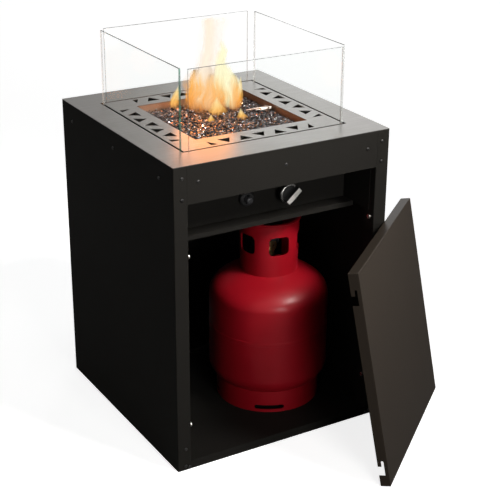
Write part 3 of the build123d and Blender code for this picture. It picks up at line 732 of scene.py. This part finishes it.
class FIREPLACE_OT_glass(bpy.types.Operator):
    """Makes the four clear panes with ground edges"""

    bl_idname = "fireplace.glass"
    bl_label = "Glass guard"

    def execute(self, context):
        colours = context.scene.fireplace_colours
        face = pane_face("clear_glass_face")
        # The dark rim is painted shade and the pale edge is a painted highlight; the deep edge is the glass's
        # own depth colour.
        rim = pane_edge("clear_glass_rim_painted_shade", (0.010, 0.012, 0.0115), 0.85)
        pale = pane_edge("clear_glass_edge_painted_highlight", (0.16, 0.17, 0.165), 0.30)
        deep = pane_edge("clear_glass_deep_edge", tuple(colours.glass_edge), 0.66)
        for side in ("front", "right", "back", "left"):
            self.pane(side, [face, rim, pale, deep])
        return {"FINISHED"}

    def pane(self, side, finishes):
        """One pane: clear faces, a top rim painted dark as shade, sides painted pale as a highlight, and the
        nearest corner green with depth.
        """
        low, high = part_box(f"glass_{side}")
        size = high - low
        thin = 0 if size.x < size.y else 1
        bm = bar(size, 0.0006, 2)
        bmesh.ops.translate(bm, vec=(low + high) / 2, verts=bm.verts)
        bmesh.ops.recalc_face_normals(bm, faces=bm.faces)
        face_slot, shaded_rim_slot, highlight_side_slot, deep_slot = range(4)
        for face in bm.faces:
            if abs(face.normal[thin]) > 0.99 and face.calc_area() > 0.01:
                face.material_index = face_slot
            # The top rim gets painted shade and the sides a painted highlight; the nearest corner keeps the
            # glass's green depth colour.
            elif abs(face.normal.z) > 0.5:
                face.material_index = shaded_rim_slot
            elif side == "left" and face.calc_center_median().y < 0:
                face.material_index = deep_slot
            else:
                face.material_index = highlight_side_slot
        piece(bm, f"pane_{side}", finishes, f"glass_{side}", [f"glass_{side}"])


class FIREPLACE_OT_burner(bpy.types.Operator):
    """Finishes the tray, the burner, its pipes and the pilot's parts"""

    bl_idname = "fireplace.burner"
    bl_label = "Burner"

    def execute(self, context):
        tray = sheet_steel("tray_steel_finish", (0.34, 0.27, 0.21), (0.20, 0.11, 0.06))
        tube = sheet_steel("burner_steel_finish", (0.42, 0.38, 0.33), (0.22, 0.15, 0.12))
        bright = sheet_steel("zinc_finish", (0.70, 0.69, 0.66), (0.58, 0.56, 0.50), 0.24)
        cast = cast_metal("cast_alloy_finish", (0.42, 0.42, 0.42))
        coat(tray, "burner_tray")
        coat(tube, "burner_ring", "burner_feed", "pilot_bracket")
        coat(bright, "igniter_nut", "panel_studs")
        coat(cast, "air_mixer", "regulator", "gas_valve", "gas_pipe")
        coat(glazed("ceramic_finish", (0.82, 0.80, 0.75)), "spark_electrode")
        self.probe(tube)
        return {"FINISHED"}

    def probe(self, material):
        """The flame probe: a tube with a rounded nose and a stepped collar."""
        low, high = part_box("thermocouple")
        radius = (high.z - low.z) / 2
        length = high.x - low.x
        outline = (
            (0.0, 0.0),
            (radius * 0.6, 0.0003),
            (radius * 0.85, 0.0012),
            (radius * 0.85, 0.018),
            (radius, 0.019),
            (radius, length - 0.0006),
            (radius * 0.9, length),
            (0.0, length),
        )
        bm = bmesh.new()
        place = Matrix.Translation((low.x, (low.y + high.y) / 2, (low.z + high.z) / 2))
        add(bm, turned(outline, 24), place @ Matrix.Rotation(math.pi / 2, 4, "Y"))
        piece(bm, "flame_probe", [material], "cabinet", ["thermocouple"])


class FIREPLACE_OT_fire_glass(bpy.types.Operator):
    """Fills the tray with crushed black glass, chip by chip"""

    bl_idname = "fireplace.fire_glass"
    bl_label = "Fire glass"

    # Chips are made in handfuls, because an operator is slow on a large bmesh.
    handful_size = 130
    seed = 4761
    bed_drop = 0.0075
    bed_gap = 0.0004
    bed_cuts = 50
    bed_relief = 0.0015

    def execute(self, context):
        sizes = context.scene.fireplace_sizes
        chance = random.Random(self.seed)
        bm = bmesh.new()
        bm.verts.layers.float.new("chip")
        self.bed(bm, chance)
        for first in range(0, sizes.chip_count, self.handful_size):
            handful = bmesh.new()
            own = handful.verts.layers.float.new("chip")
            for _ in range(min(self.handful_size, sizes.chip_count - first)):
                self.chip(handful, own, chance, sizes.chip_size)
            add(bm, handful)
        material = chip_glass("crushed_glass_finish")
        made = piece(bm, "crushed_glass", [material], "cabinet", ["fire_glass"], sharp=5.0)
        if len(made.data.polygons) < sizes.chip_count:
            raise RuntimeError("the chips were not made")
        return {"FINISHED"}

    def bed(self, bm, chance):
        """The body of the bed, uneven on top."""
        level = media_top - self.bed_drop
        half = tray_half - self.bed_gap
        made = bmesh.ops.create_cube(bm, size=1.0)
        bmesh.ops.scale(bm, vec=(2 * half, 2 * half, level - tray_floor), verts=made["verts"])
        bmesh.ops.translate(bm, vec=(0, 0, (level + tray_floor) / 2), verts=made["verts"])
        top = [edge for edge in bm.edges if all(v.co.z > level - 0.001 for v in edge.verts)]
        bmesh.ops.subdivide_edges(bm, edges=top, cuts=self.bed_cuts, use_grid_fill=True)
        for vert in bm.verts:
            if vert.co.z > level - 0.001 and max(abs(vert.co.x), abs(vert.co.y)) < half - 0.001:
                vert.co.z += chance.uniform(-self.bed_relief, self.bed_relief)

    def chip(self, bm, own, chance, size):
        """One broken chip, flattish and sharp, lying anyhow."""
        reach = size * chance.uniform(0.55, 1.25)
        half = tray_half - reach - 0.0006
        x = chance.uniform(-half, half)
        y = chance.uniform(-half, half)
        z = media_top + chance.uniform(-0.0068, 0.0008)
        tilt = Matrix.Rotation(chance.uniform(-0.7, 0.7), 4, "X")
        tilt = tilt @ Matrix.Rotation(chance.uniform(-0.7, 0.7), 4, "Y")
        spin = Matrix.Rotation(chance.uniform(0, math.tau), 4, "Z")
        depth = reach * chance.uniform(0.45, 0.85)
        thickness = reach * chance.uniform(0.3, 0.6)
        form = Matrix.Diagonal((reach, depth, thickness, 1.0))
        place = Matrix.Translation((x, y, z)) @ spin @ tilt @ form
        made = bmesh.ops.create_icosphere(bm, subdivisions=1, radius=1.0, matrix=place)
        shade = chance.random()
        for vert in made["verts"]:
            vert.co += Vector([chance.uniform(-0.22, 0.22) * reach for _ in range(3)])
            vert[own] = shade


class FIREPLACE_OT_flame(bpy.types.Operator):
    """Raises the flame as crossed tongues with their own light"""

    bl_idname = "fireplace.flame"
    bl_label = "Flame"

    # The directions, in degrees, that the crossed sheets of each tongue lie across.
    crossings = (-31.0, 14.0, 104.0)
    bulge = 0.35

    # Each tongue: (centre, half width) stations from its root to its tip, in metres.
    column = (
        (((0.012, 0.083, 0.775), 0.066), ((0.012, 0.083, 0.826), 0.062), ((0.014, 0.082, 0.878), 0.049),
         ((0.020, 0.078, 0.930), 0.040), ((0.023, 0.076, 0.970), 0.039), ((0.026, 0.074, 1.009), 0.049)),
        (((0.000, 0.090, 0.780), 0.038), ((0.002, 0.088, 0.830), 0.032), ((0.006, 0.086, 0.880), 0.022),
         ((0.012, 0.082, 0.930), 0.016), ((0.014, 0.080, 0.970), 0.014), ((0.014, 0.080, 1.007), 0.016)),
    )
    bright = (
        (((0.062, 0.056, 0.776), 0.022), ((0.062, 0.056, 0.820), 0.028), ((0.060, 0.058, 0.850), 0.026),
         ((0.050, 0.062, 0.880), 0.016), ((0.042, 0.066, 0.906), 0.008)),
        (((0.036, 0.070, 0.800), 0.018), ((0.036, 0.070, 0.850), 0.017), ((0.038, 0.068, 0.895), 0.015),
         ((0.046, 0.062, 0.926), 0.014), ((0.040, 0.066, 0.952), 0.008)),
    )
    base = (
        (((-0.010, 0.096, 0.766), 0.040), ((-0.010, 0.096, 0.800), 0.042), ((-0.008, 0.096, 0.836), 0.040),
         ((-0.004, 0.094, 0.876), 0.036)),
        (((0.026, 0.075, 0.762), 0.046), ((0.026, 0.075, 0.795), 0.044), ((0.028, 0.073, 0.826), 0.040),
         ((0.031, 0.072, 0.866), 0.028)),
        (((0.072, 0.052, 0.768), 0.018), ((0.073, 0.052, 0.795), 0.018), ((0.072, 0.052, 0.826), 0.016),
         ((0.068, 0.054, 0.862), 0.010)),
    )
    small = (
        (((0.094, 0.073, 0.766), 0.012), ((0.096, 0.072, 0.800), 0.010), ((0.099, 0.071, 0.828), 0.006),
         ((0.100, 0.070, 0.850), 0.001)),
        (((-0.052, 0.150, 0.766), 0.020), ((-0.050, 0.150, 0.788), 0.014), ((-0.044, 0.148, 0.808), 0.008),
         ((-0.040, 0.147, 0.826), 0.001)),
        (((0.016, 0.044, 0.764), 0.028), ((0.017, 0.046, 0.780), 0.022), ((0.018, 0.048, 0.796), 0.012),
         ((0.018, 0.050, 0.812), 0.003)),
        (((0.053, -0.020, 0.766), 0.016), ((0.051, -0.019, 0.776), 0.012), ((0.049, -0.019, 0.786), 0.006),
         ((0.047, -0.018, 0.796), 0.001)),
        (((-0.029, -0.004, 0.766), 0.012), ((-0.029, -0.003, 0.774), 0.009), ((-0.028, -0.003, 0.781), 0.004),
         ((-0.028, -0.003, 0.786), 0.001)),
    )

    def execute(self, context):
        rust = (0.62, 0.19, 0.03)
        orange = (0.93, 0.33, 0.03)
        amber = (0.98, 0.50, 0.08)
        yellow = (1.0, 0.88, 0.45)
        cream = (1.0, 0.95, 0.62)
        peach = (1.0, 0.84, 0.70)
        # Each kind of tongue: name, stations, root, heart, crown, cover, fade, heat and streak.
        kinds = (
            ("flame_column", self.column, cream, peach, peach, 0.46, 16.0, 0.3, 3.0),
            ("flame_bright", self.bright, yellow, cream, cream, 0.9, 3.0, 0.7, 6.0),
            ("flame_base", self.base, rust, orange, amber, 0.95, 3.0, 0.22, 7.0),
            ("flame_small", self.small, orange, amber, yellow, 0.75, 2.6, 0.3, 6.0),
        )
        for name, tongues, *look in kinds:
            self.group(context, name, tongues, flame_light(f"{name}_light", *look))
        self.glow(context)
        return {"FINISHED"}

    def group(self, context, name, tongues, material):
        wide = context.scene.fireplace_sizes.flame_width
        bm = bmesh.new()
        for number, stations in enumerate(tongues):
            for turn in self.crossings:
                self.tongue(bm, stations, math.radians(turn + 7 * number), wide)
        mesh = bpy.data.meshes.new(name)
        bm.to_mesh(mesh)
        bm.free()
        mesh.shade_smooth()
        mesh.materials.append(material)
        made = bpy.data.objects.new(name, mesh)
        made.visible_shadow = False
        context.scene.collection.objects.link(made)
        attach(made, "cabinet")

    def tongue(self, bm, stations, turn, wide):
        """One curved sheet along the stations, across the given direction."""
        uv = bm.loops.layers.uv.verify()
        across = Vector((math.cos(turn), math.sin(turn), 0))
        outward = Vector((-math.sin(turn), math.cos(turn), 0))
        made = bmesh.ops.create_grid(bm, x_segments=6, y_segments=20, size=0.5)
        rest = {vert: (vert.co.x + 0.5, vert.co.y + 0.5) for vert in made["verts"]}
        for vert, (u, v) in rest.items():
            centre, half = self.station(stations, v)
            sway = math.sin(v * 9.0 + turn * 3.0) * 0.16 * half
            side = (u - 0.5) * 2.0
            bow = self.bulge * half * (1 - side * side)
            vert.co = centre + across * (side * half * wide + sway) + outward * bow
        for face in {face for vert in rest for face in vert.link_faces}:
            for loop in face.loops:
                loop[uv].uv = rest[loop.vert]

    def station(self, stations, v):
        """The smooth centre and half width at a share of the way up."""
        at = v * (len(stations) - 1)
        first = min(int(at), len(stations) - 2)
        t = at - first
        t = t * t * (3 - 2 * t) * 0.4 + t * 0.6
        low = stations[first]
        high = stations[first + 1]
        centre = Vector(low[0]).lerp(Vector(high[0]), t)
        return centre, low[1] + (high[1] - low[1]) * t

    def glow(self, context):
        light = bpy.data.lights.new("flame_glow", "POINT")
        light.energy = context.scene.fireplace_sizes.glow
        light.color = (1.0, 0.30, 0.05)
        light.shadow_soft_size = 0.08
        made = bpy.data.objects.new("flame_glow", light)
        made.location = (-0.03, 0.03, 0.85)
        context.scene.collection.objects.link(made)


class FIREPLACE_OT_bottle(bpy.types.Operator):
    """Turns the bottle's shell with its weld and finishes the valve and the handwheel"""

    bl_idname = "fireplace.bottle"
    bl_label = "Gas bottle"

    def execute(self, context):
        colours = context.scene.fireplace_colours
        red = tuple(colours.bottle)
        enamel = gloss_enamel("bottle_enamel", red, tuple(channel * 0.6 for channel in red))
        coat(enamel, "foot_ring", "bottle_collar")
        brass = cast_metal("brass_finish", (0.55, 0.41, 0.2), 0.95, 0.3, 1200.0)
        coat(brass, "bottle_valve", "valve_outlet", "coupling_nut")
        coat(brass, "regulator_fitting", "valve_fitting", "valve_stem")
        black = moulded("valve_plastic", (0.014, 0.014, 0.015))
        coat(black, "handwheel", "nut_grip")
        self.shell(enamel)
        return {"FINISHED"}

    def shell(self, material):
        """The shell: a domed foot, the weld round its middle, a domed shoulder and the boss."""
        low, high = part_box("bottle_shell")
        bottom = 0.121
        top = 0.313
        weld = 0.228
        outline = []
        for step in range(dome_steps + 1):
            turn = math.pi / 2 * step / dome_steps
            outline.append((bottle_radius * math.sin(turn), bottom - bottle_dome * math.cos(turn)))
        bead = ((-0.0056, 0.0), (-0.0050, 0.0007), (0.0, 0.0008), (0.0050, 0.0007), (0.0056, 0.0))
        for height, proud in bead:
            outline.append((bottle_radius + proud, weld + height))
        for step in range(dome_steps + 1):
            turn = math.pi / 2 * step / dome_steps
            reach = bottle_radius * math.cos(turn)
            if reach > bottle_boss + 0.004:
                outline.append((reach, top + bottle_dome * math.sin(turn)))
        seat = high.z
        outline.append((bottle_boss + 0.002, top + bottle_dome * 0.985))
        outline.append((bottle_boss, top + bottle_dome + 0.001))
        outline.append((bottle_boss, seat - 0.001))
        outline.append((bottle_boss - 0.001, seat))
        outline.append((0.0, seat))
        bm = bmesh.new()
        add(bm, turned(outline, 128), Matrix.Translation(bottle_axis))
        if low.z < 0.02:
            raise RuntimeError("the bottle does not stand on its floor")
        piece(bm, "bottle_body", [material], "bottle", ["bottle_shell"])


class FIREPLACE_OT_controls(bpy.types.Operator):
    """Makes the knob with its ring and face, and the igniter"""

    bl_idname = "fireplace.controls"
    bl_label = "Controls"

    def execute(self, context):
        black = moulded("knob_black_finish", (0.012, 0.012, 0.012), 0.3)
        centre = Vector((knob_x, control_face, control_height))
        bright = turned_metal("knob_bright_finish", (0.42, 0.41, 0.39), centre)
        satin = cast_metal("knob_face_finish", (0.95, 0.93, 0.88), 0.2, 0.4, 2500.0)
        self.knob(black, bright, satin)
        self.igniter(black)
        return {"FINISHED"}

    def knob(self, black, bright, satin):
        """The bright rim, the black neck, skirt and grip, and the pale strip in the grip."""
        ring = (
            (0.0212, 0.0),
            (0.0253, 0.0),
            (0.026, 0.0007),
            (0.026, 0.0048),
            (0.0255, 0.0055),
            (0.0243, 0.0068),
            (0.0236, 0.007),
            (0.0216, 0.007),
            (0.0212, 0.0066),
            (0.0212, 0.0),
        )
        bm = bmesh.new()
        add(bm, turned(ring, 72), lying(skirt_place))
        piece(bm, "knob_rim", [bright], "knob", ["knob_ring"])
        bm = bmesh.new()
        skirt = (
            (0.0046, -knob_neck),
            (0.0174, -knob_neck),
            (0.018, 0.0006 - knob_neck),
            (0.018, 0.0),
            (0.0206, 0.0),
            (0.0210, 0.0004),
            (0.0210, 0.0062),
            (0.0200, 0.0071),
            (0.0, 0.0076),
        )
        add(bm, turned(skirt, 64), lying(skirt_place))
        grip = bar(grip_size, 0.0022, 3)
        add(bm, grip, lying(skirt_place + Vector((0, -grip_middle, 0)), knob_turn))
        piece(bm, "knob_grip", [black], "knob", ["knob"])
        bm = bmesh.new()
        face = bar(face_size, 0.0009, 2)
        add(bm, face, lying(skirt_place + Vector((0, -face_middle, 0)), knob_turn))
        piece(bm, "knob_face", [satin], "knob", ["knob_inlay"])

    def igniter(self, black):
        """The round bezel with its barrel through the wall, and the crowned button."""
        seat = Vector((igniter_x, control_face, control_height))
        grey = moulded("button_finish", (0.035, 0.035, 0.037), 0.3, 600.0)
        bezel = (
            (0.0100, -0.012),
            (0.0100, 0.0100),
            (0.0112, 0.012),
            (0.0160, 0.012),
            (0.0183, 0.0102),
            (0.0195, 0.0080),
            (0.0195, 0.0),
            (0.0109, 0.0),
            (0.0109, -0.045),
            (0.0, -0.045),
            (0.0, -0.024),
            (0.0100, -0.024),
            (0.0100, -0.012),
        )
        bm = bmesh.new()
        add(bm, turned(bezel, 48), lying(seat))
        piece(bm, "igniter_bezel", [black], "cabinet", ["igniter_body"], 25.0)
        button = (
            (0.0, -0.012),
            (0.0094, -0.012),
            (0.0094, 0.0215),
            (0.0086, 0.0238),
            (0.0070, 0.0252),
            (0.0052, 0.0258),
            (0.0044, 0.0250),
            (0.0, 0.0252),
        )
        bm = bmesh.new()
        add(bm, turned(button, 12), lying(seat))
        piece(bm, "igniter_cap", [grey], "igniter_button", ["igniter_button"], 20.0)


class FIREPLACE_OT_screws(bpy.types.Operator):
    """Makes every round-head screw with its recess"""

    bl_idname = "fireplace.screws"
    bl_label = "Screws"

    front_y = -0.310
    post_x = 0.2735
    post_heights = (0.0105, 0.0586, 0.7057, 0.7565)
    rail_x = 0.2634
    rail_height = 0.0065
    band_places = (-0.232, 0.0, 0.232)
    band_height = 0.743
    side_x = 0.295
    side_places = (-0.240, 0.003, 0.246)
    side_height = 0.741
    back_y = 0.310
    back_x = 0.285
    back_heights = (0.060, 0.3925, 0.740)

    def execute(self, context):
        steel = cast_metal("blackened_steel", (0.045, 0.044, 0.043), 0.7, 0.34, 900.0)
        posts = [(side * self.post_x, self.front_y, z) for side in (-1, 1) for z in self.post_heights]
        posts += [(side * self.rail_x, self.front_y, self.rail_height) for side in (-1, 1)]
        band = [(x, self.front_y, self.band_height) for x in self.band_places]
        backs = [(side * self.back_x, self.back_y, z) for side in (-1, 1) for z in self.back_heights]
        self.row("post_screw_heads", posts, Vector((0, -1, 0)), steel, "post_screws")
        self.row("fascia_screw_heads", band, Vector((0, -1, 0)), steel, "fascia_screws")
        bm = bmesh.new()
        for side in (-1, 1):
            for y in self.side_places:
                place = Vector((side * self.side_x, y, self.side_height))
                self.head(bm, place, Vector((side, 0, 0)))
        piece(bm, "side_screw_heads", [steel], "cabinet", ["side_screws"])
        self.row("back_screw_heads", backs, Vector((0, 1, 0)), steel, "back_screws")
        return {"FINISHED"}

    def row(self, name, places, outward, material, node):
        bm = bmesh.new()
        for place in places:
            self.head(bm, Vector(place), outward)
        piece(bm, name, [material], "cabinet", [node])

    def head(self, bm, seat, outward):
        """One screw: a low round head, sunk at its centre, and its shank."""
        outline = (
            (0.0, -0.009),
            (0.0017, -0.009),
            (0.0020, -0.0084),
            (0.0020, 0.0),
            (0.0042, 0.0),
            (0.0042, 0.0007),
            (0.0038, 0.0014),
            (0.0029, 0.0020),
            (0.0014, 0.0022),
            (0.0, 0.0022),
        )
        turn = outward.to_track_quat("Z", "Y").to_matrix().to_4x4()
        place = Matrix.Translation(seat) @ turn
        head = turned(outline, 16)
        centre = [face for face in head.faces if all(v.co.z > 0.0021 for v in face.verts)]
        sunk = bmesh.ops.inset_region(head, faces=centre, thickness=0.0002, depth=0.0)
        if not sunk["faces"]:
            raise RuntimeError("a screw has no recess")
        floor = list({vert for face in centre for vert in face.verts})
        bmesh.ops.translate(head, vec=(0, 0, -0.0008), verts=floor)
        add(bm, head, place)


class FIREPLACE_PT_panel(bpy.types.Panel):
    """Lists the fireplace's sizes, colours and makers"""

    bl_label = "Gas fireplace"
    bl_idname = "FIREPLACE_PT_panel"
    bl_space_type = "VIEW_3D"
    bl_region_type = "UI"
    bl_category = "Fireplace"

    def draw(self, context):
        for group in (context.scene.fireplace_sizes, context.scene.fireplace_colours):
            for name in group.bl_rna.properties.keys():
                if name not in ("rna_type", "name"):
                    self.layout.prop(group, name)
        for kind in operators:
            self.layout.operator(kind.bl_idname)


operators = (
    FIREPLACE_OT_stage,
    FIREPLACE_OT_hose,
    FIREPLACE_OT_cabinet,
    FIREPLACE_OT_glass,
    FIREPLACE_OT_burner,
    FIREPLACE_OT_fire_glass,
    FIREPLACE_OT_flame,
    FIREPLACE_OT_bottle,
    FIREPLACE_OT_controls,
    FIREPLACE_OT_screws,
)
classes = (FireplaceSizes, FireplaceColours, *operators, FIREPLACE_PT_panel)


def register():
    for kind in classes:
        bpy.utils.register_class(kind)
    bpy.types.Scene.fireplace_sizes = PointerProperty(type=FireplaceSizes)
    bpy.types.Scene.fireplace_colours = PointerProperty(type=FireplaceColours)


def unregister():
    del bpy.types.Scene.fireplace_colours
    del bpy.types.Scene.fireplace_sizes
    for kind in reversed(classes):
        bpy.utils.unregister_class(kind)


def main():
    register()
    for kind in operators:
        group, name = kind.bl_idname.split(".")
        getattr(getattr(bpy.ops, group), name)()


if __name__ == "__main__":
    main()
